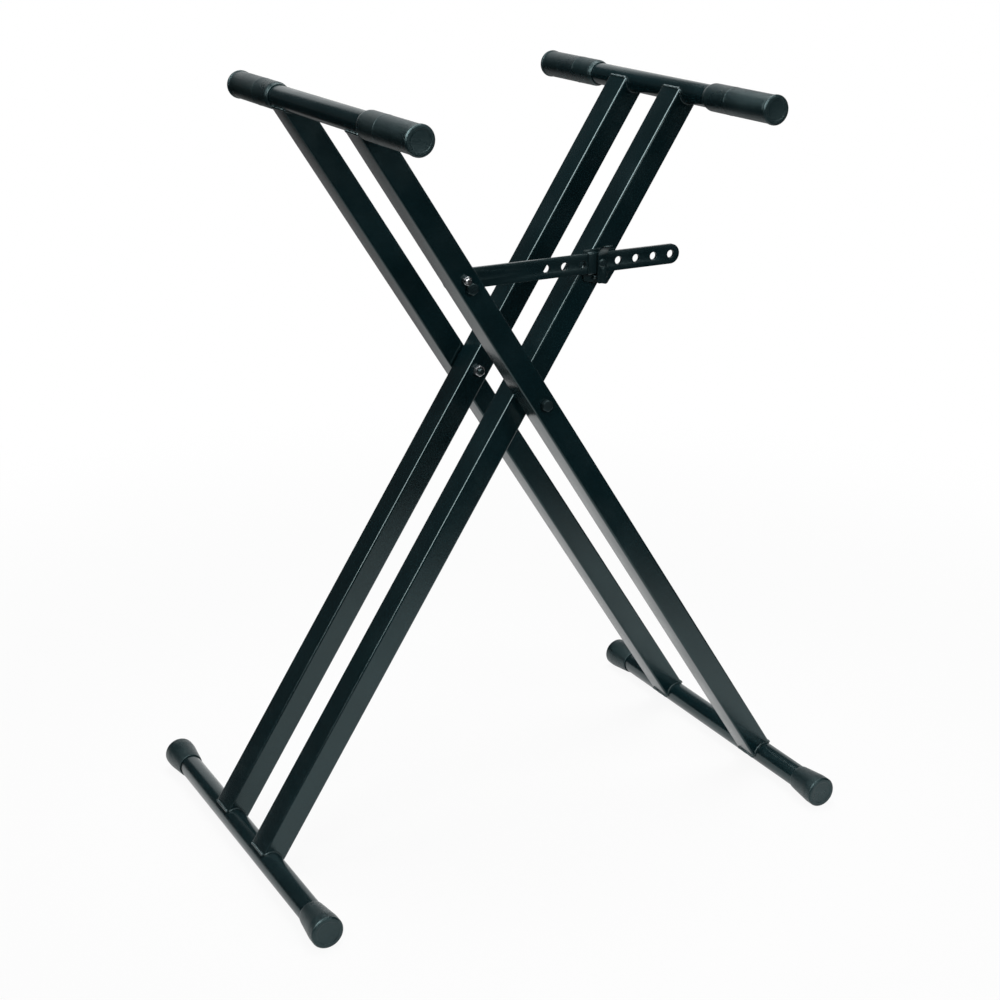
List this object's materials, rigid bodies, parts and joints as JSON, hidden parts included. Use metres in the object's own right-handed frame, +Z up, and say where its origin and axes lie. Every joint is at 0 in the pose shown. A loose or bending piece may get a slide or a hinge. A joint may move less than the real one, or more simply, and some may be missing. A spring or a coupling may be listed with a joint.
{
  "type": "double x keyboard stand",
  "caption": "Folding keyboard stand of two crossed tube frames, with rubber sleeves and feet and a strap with holes held by a spring lock.",
  "frame": {"origin": "on the floor, under the middle of the stand", "axes": "+Z up, +X across the stand towards the inner frame's top bar, +Y along the bars towards the back; the strap and lock are at the front"},
  "size_m": [0.7558, 0.5202, 0.9515],
  "materials": {
    "frame_paint": "black semi-gloss powder coat",
    "strap_paint": "black semi-gloss powder coat on sheet steel",
    "rubber": "matt black moulded rubber",
    "zinc_steel": "bright zinc plate",
    "black_steel": "black oxide, satin",
    "nylon": "black nylon"
  },
  "bodies": {
    "inner_frame": {"inner_top_tube": "frame_paint", "inner_front_leg": "frame_paint", "inner_rear_leg": "frame_paint", "inner_foot_tube": "frame_paint", "inner_front_top_sleeve": "rubber", "inner_rear_top_sleeve": "rubber", "inner_front_foot_cap": "rubber", "inner_rear_foot_cap": "rubber", "front_pivot_bolt": "black_steel", "front_pivot_nut": "zinc_steel", "front_pivot_spacer": "nylon", "rear_pivot_bolt": "black_steel", "rear_pivot_nut": "zinc_steel", "rear_pivot_washer": "nylon", "lock_rivet": "zinc_steel"},
    "outer_frame": {"outer_top_tube": "frame_paint", "outer_front_leg": "frame_paint", "outer_rear_leg": "frame_paint", "outer_foot_tube": "frame_paint", "outer_front_top_sleeve": "rubber", "outer_rear_top_sleeve": "rubber", "outer_front_foot_cap": "rubber", "outer_rear_foot_cap": "rubber", "strap_pivot_bolt": "black_steel", "strap_pivot_nut": "zinc_steel", "strap_pivot_spacer": "nylon", "strap_stop_bolt": "zinc_steel", "strap_stop_nut": "zinc_steel"},
    "strap": {"height_strap": "strap_paint"},
    "lock_bracket": {"lock_bracket": "strap_paint", "lever_hinge_pin": "black_steel", "lock_spring": "zinc_steel"},
    "lock_lever": {"lock_lever": "strap_paint", "lock_pin": "black_steel"}
  },
  "joints": [
    {"name": "fold", "type": "hinge", "parent": "inner_frame", "child": "outer_frame", "pos_m": [0, 0, 0.57828], "axis": [0, 1, 0], "range_deg": [-44.2, 55]},
    {"name": "strap_hinge", "type": "hinge", "parent": "outer_frame", "child": "strap", "pos_m": [-0.1023, -0.08263, 0.7347], "axis": [0, 1, 0], "range_deg": [-27.5, 22.1]},
    {"name": "lock_pivot", "type": "hinge", "parent": "inner_frame", "child": "lock_bracket", "pos_m": [0.1023, -0.07802, 0.7347], "axis": [0, 1, 0], "range_deg": [-22.1, 27.5]},
    {"name": "lock_lever_hinge", "type": "hinge", "parent": "lock_bracket", "child": "lock_lever", "pos_m": [0.1023, -0.08332, 0.7172], "axis": [1, 0, 0], "range_deg": [0, 15], "stiffness_Nm_per_rad": 0.15, "springref_deg": -22.92, "deforming": ["lock_spring"]}
  ],
  "couplings": [
    {"joint": "strap_hinge", "follows": "fold", "ratio": -0.5},
    {"joint": "lock_pivot", "follows": "fold", "ratio": 0.5}
  ]
}
